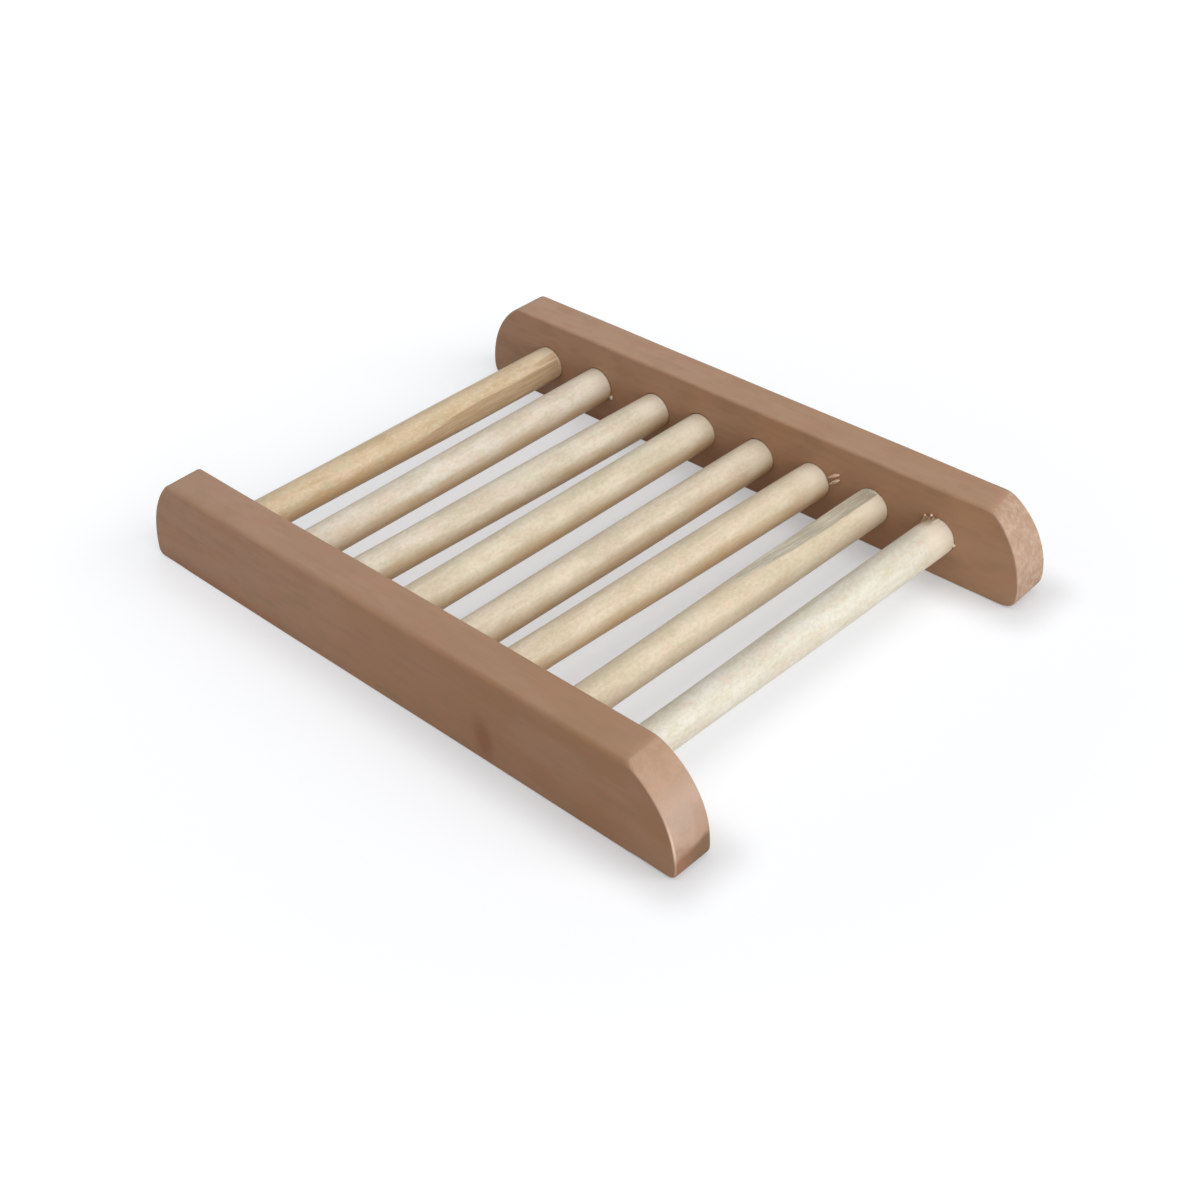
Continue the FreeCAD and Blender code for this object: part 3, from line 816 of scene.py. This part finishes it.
def dowel_finish(number):
    """Pale bare wood with its grain along Y: soft olive, pink and tan blotches, long faint
    streaks and fine fibres. It is paler by the back rail, partly its own paler ends and
    partly painted light against the back rail's shade, and a little redder by the front rail.
    The underside is darker and browner, which is painted shade, and the ends are browned by
    the rails' stain in the bores. A rough grain shows where a flat was planed, and torn lines
    where the wood is frayed."""
    finish = Finish(f"dowel {number} wood")
    light, dark, planed_light, planed_dark = (linear(*tone) for tone in DOWEL_TONES[number])
    _, y, z = finish.axes()
    shift = (number * 5.3, number * 2.1, number * 3.7)
    clouds = finish.noise(finish.stretched((0.35, 0.1, 0.35), shift), detail=2)
    olive = finish.noise(finish.stretched((0.6, 0.3, 0.6), (*shift[1:], 4)), detail=3)
    pink = finish.noise(finish.stretched((0.6, 0.3, 0.6), (9, *shift[:2])), detail=3)
    speckles = finish.noise(finish.stretched((1.9, 1.2, 1.9), shift), detail=3, roughness=0.65)
    streaks = finish.noise(finish.stretched((1.6, 0.06, 1.6), shift), detail=4, distortion=0.3)
    fibres = finish.noise(finish.stretched((6, 0.35, 6), shift), detail=2)
    stripes = clouds * 0.65 + streaks * 0.35
    colour = finish.mix(finish.between(stripes, 0.38, 0.62), dark, light)
    colour = finish.tint(colour, olive, (0.5, 0.68), 0.4, (186, 184, 150))
    colour = finish.tint(colour, pink, (0.5, 0.68), 0.4, (208, 182, 160))
    colour = finish.tint(colour, fibres, (0.6, 0.75), 0.15, (170, 146, 112))
    colour = finish.tint(colour, speckles, (0.5, 0.66), 0.2, (170, 152, 124))
    light_specks = 1 - finish.between(speckles, 0.34, 0.5)
    colour = finish.mix(light_specks * 0.2, colour, linear(228, 214, 190))
    # Paler by the back rail: partly the wood's own paler ends, partly painted light against the back
    # rail's shade.
    colour = finish.tint(colour, y + clouds * 2, (29, 35), BACK_END_PALE_AND_LIT[number], (232, 220, 200))
    # Painted shade: the underside darker and browner.
    underside = 1 - finish.between(z + (clouds + olive) * 2 - 2, 6.2, 9.8)
    colour = finish.mix(underside * UNDERSIDE_SHADE[number], colour, linear(192, 154, 106))
    colour = finish.tint(colour, 0 - y + pink * 3, (32.5, 36), 0.35, (206, 170, 142))
    off_middle = y.maths("ABSOLUTE", y)
    in_bore = finish.between(off_middle + fibres * 0.3, 36.1, 36.5)
    colour = finish.mix(in_bore, colour, linear(118, 88, 66))

    grain = finish.noise(finish.stretched((2.6, 0.14, 2.6), shift), detail=5, roughness=0.72)
    planed = finish.mix(finish.between(grain, 0.38, 0.62), planed_dark, planed_light)
    colour = finish.mix(finish.mark("planed") * 0.9, colour, planed)
    frayed = finish.mark("frayed")
    colour = finish.mix(frayed * 0.75, colour, linear(168, 146, 112))
    torn_lines = finish.noise(finish.stretched((3.4, 0.5, 3.4), shift), detail=3, roughness=0.7)
    colour = finish.tint(colour, torn_lines, (0.44, 0.56), frayed * 0.55, (122, 96, 70))
    height = streaks * 0.4 + fibres * 0.3 + grain * finish.mark("planed")
    finish.feed(finish.shader, {
        "Base Color": colour,
        "Roughness": finish.between(streaks, 0, 1) * 0.1 + 0.4,
        "Specular IOR Level": DOWEL_GLOSS,
        "Normal": finish.bump(height, DOWEL_GRAIN),
    })
    return finish


def torn_finish(name, light, dark):
    """Torn fibres, from a lighter to a darker tone in fine streaks."""
    finish = Finish(name)
    streaks = finish.noise(finish.stretched((4, 1.2, 4)), detail=2)
    colour = finish.mix(finish.between(streaks, 0.4, 0.6), dark, light)
    finish.feed(finish.shader, {"Base Color": colour, "Roughness": 0.7})
    return finish


def glue_finish():
    """Dried glue: pale, cloudy and a little glossy."""
    finish = Finish("dried glue")
    clouds = finish.noise(finish.stretched((3, 3, 3)), detail=2)
    colour = finish.mix(clouds, linear(196, 178, 150), linear(220, 206, 184))
    finish.feed(finish.shader, {"Base Color": colour, "Roughness": clouds * 0.2 + 0.35})
    return finish


# Surroundings

WORLD_LIGHT = 0.31
# Each lamp's place, size and power: a wide one low on the right, and one overhead.
LAMPS = {
    "window": ((1.1, 0.0, 0.35), 1.8, 26.1),
    "overhead": ((0.0, 0.0, 1.1), 1.2, 4.3),
}
# The floor lies a hair below the dish's underside, so that the two share no plane.
FLOOR_COLOUR, FLOOR_HALF_WIDTH, FLOOR_DROP = (0.621, 0.625, 0.629), 3.0, 0.02 * MM
# How much light the floor adds at the dish's middle, how much less for each millimetre
# towards the lamp on the right, and how far to either side that goes on, in millimetres.
# Then its tint, which evens out the warm light off the wood.
FLOOR_GLOW, GLOW_SLOPE, GLOW_SIDE = 0.4225, 0.00057, 100
GLOW_TINT = (0.935, 0.962, 1)
# How much more it adds away from the dish, each time with the distances from the dish's
# middle, in millimetres, between which that rises.
OPEN_GLOWS = ((0.155, 80, 150), (0.51, 150, 500))
# How much of it is taken away right beside the rails, which paints a shadow on the floor
# there: at the dish's middle, and how much more for each millimetre towards the right.
# Then how far that reaches, in millimetres.
PAINTED_RAIL_SHADOW, PAINTED_SHADOW_SLOPE, PAINTED_SHADOW_REACH = 0.1, 0.0016, 8


def from_rails(finish):
    """How far a place on the floor is from the nearer rail, in millimetres: the square root
    of the sum of the squares of how far it is past the rail's end and past its face."""
    low, high = (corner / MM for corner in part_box("back_rail"))
    x, y, _ = finish.axes()
    past_end = x.maths("ABSOLUTE", x) - high.x
    off_middle = y.maths("ABSOLUTE", y) - (low.y + high.y) / 2
    past_face = y.maths("ABSOLUTE", off_middle) - (high.y - low.y) / 2
    along, across = (x.maths("MAXIMUM", past, 0) for past in (past_end, past_face))
    return x.maths("SQRT", along * along + across * across)


def make_floor():
    """A plain pale floor. It adds light to what the camera and the reflections see of it,
    more of it away from the dish and less right beside the rails, which paints a shadow
    there, and keeps the cast shadow."""
    mesh = bpy.data.meshes.new("floor")
    signs = ((-1, -1), (1, -1), (1, 1), (-1, 1))
    corners = [(x * FLOOR_HALF_WIDTH, y * FLOOR_HALF_WIDTH, -FLOOR_DROP) for x, y in signs]
    mesh.from_pydata(corners, [], [(0, 1, 2, 3)])
    floor = bpy.data.objects.new("floor", mesh)
    bpy.context.scene.collection.objects.link(floor)
    finish = Finish("pale floor")
    place = finish.stretched((1, 1, 1))
    away = finish.node("VectorMath", {"operation": "LENGTH"}, {0: place}, output=1)
    limits = {"Min": -GLOW_SIDE, "Max": GLOW_SIDE}
    rightward = finish.node("Clamp", None, {0: finish.axes()[0], **limits})
    strength = FLOOR_GLOW - rightward * GLOW_SLOPE
    for more, near, far in OPEN_GLOWS:
        strength = strength + finish.between(away, near, far) * more
    # Painted shadow: less added light right beside the rails.
    beside = 1 - finish.between(from_rails(finish), 0, PAINTED_SHADOW_REACH)
    strength = strength - beside * (rightward * PAINTED_SHADOW_SLOPE + PAINTED_RAIL_SHADOW)
    glow = finish.node("Emission", None, {"Color": GLOW_TINT, "Strength": finish.seen() * strength})
    matt = {"Base Color": FLOOR_COLOUR, "Roughness": 0.9, "Specular IOR Level": 0.0}
    finish.feed(finish.shader, matt)
    both = finish.node("AddShader", None, {0: Wire(finish, finish.shader.outputs[0]), 1: glow})
    finish.links.new(both.socket, finish.nodes["Material Output"].inputs["Surface"])
    finish.cover(floor)


def make_world():
    """Even white light from all round; the camera and the reflections see plain white."""
    air = Finish("studio", world=True)
    bpy.context.scene.world = air.material
    strength = air.seen() * (1 - WORLD_LIGHT) + WORLD_LIGHT
    air.feed(air.shader, {"Color": (1, 1, 1), "Strength": strength})


def make_lamp(name, place, size, power):
    """A square soft light that looks at the dish."""
    light = bpy.data.lights.new(name, "AREA")
    light.shape = "SQUARE"
    light.size = size
    light.energy = power
    lamp = bpy.data.objects.new(name, light)
    lamp.location = place
    lamp.rotation_euler = Vector(place).to_track_quat("Z", "Y").to_euler()
    bpy.context.scene.collection.objects.link(lamp)


# The camera that took the photograph, worked out from the dish's corners: where it stood,
# how it was turned, and its focal length and principal point in the photograph's pixels.
PHOTO_PIXELS = 1200
CAMERA_PLACE = (0.18493, -0.17409, 0.18037)
CAMERA_AZIMUTH, CAMERA_DROP, CAMERA_ROLL = (math.radians(v) for v in (46.242, 36.46, -3.468))
FOCAL_PIXELS = 1880.0
PRINCIPAL_POINT = (599.7, 605.7)


def make_camera():
    """Stands the camera where it was for the photograph. It looks along its drop below the
    level, and the roll turns its right and up directions about that."""
    forward = Vector((
        -math.sin(CAMERA_AZIMUTH) * math.cos(CAMERA_DROP),
        math.cos(CAMERA_AZIMUTH) * math.cos(CAMERA_DROP),
        -math.sin(CAMERA_DROP),
    ))
    level = forward.cross(Vector((0, 0, 1))).normalized()
    upright = level.cross(forward)
    right = level * math.cos(CAMERA_ROLL) + upright * math.sin(CAMERA_ROLL)
    up = upright * math.cos(CAMERA_ROLL) - level * math.sin(CAMERA_ROLL)
    lens = bpy.data.cameras.new("camera")
    lens.sensor_fit = "HORIZONTAL"
    lens.sensor_width = 36
    lens.lens = lens.sensor_width * FOCAL_PIXELS / PHOTO_PIXELS
    lens.shift_x = 0.5 - PRINCIPAL_POINT[0] / PHOTO_PIXELS
    lens.shift_y = PRINCIPAL_POINT[1] / PHOTO_PIXELS - 0.5
    lens.clip_start = 0.01
    camera = bpy.data.objects.new("camera", lens)
    turn = Matrix((right, up, -forward)).transposed().to_4x4()
    camera.matrix_world = Matrix.Translation(CAMERA_PLACE) @ turn
    bpy.context.scene.collection.objects.link(camera)
    bpy.context.scene.camera = camera


def place_piece(piece, finish):
    """Gives a piece its finish, and lets it ride with the dish."""
    finish.cover(piece)
    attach(piece, "root")


make_camera()
make_world()
for lamp_name, lamp in LAMPS.items():
    make_lamp(lamp_name, *lamp)
make_floor()

rail_wood = rail_finish()
for rail in INWARD:
    rail_piece = make_rail(rail)
    place_piece(rail_piece, rail_wood)
    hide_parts(rail)

dowel_woods = {number: dowel_finish(number) for number in DOWEL_TONES}
for number, dowel_wood in dowel_woods.items():
    dowel_piece = make_dowel(number)
    place_piece(dowel_piece, dowel_wood)
    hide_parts(f"dowel_{number}")

torn_wood = torn_finish("torn fibre wood", linear(236, 206, 182), linear(214, 178, 154))
frayed_wood = torn_finish("frayed fibre wood", linear(176, 150, 118), linear(144, 116, 88))
dried_glue = glue_finish()
place_piece(make_slivers("dowel_6_splinters", SPLINTERS), torn_wood)
place_piece(make_beads("dowel_8_fibre_ends", FIBRE_ENDS), torn_wood)
place_piece(make_slivers("dowel_8_fibres", FIBRES), dowel_woods[DOWEL_COUNT])
place_piece(make_slivers("dowel_8_frayed_edge", FRAYED_EDGE), frayed_wood)
place_piece(make_beads("glue_beads", BEADS), dried_glue)

bpy.context.scene.view_settings.view_transform = "Standard"
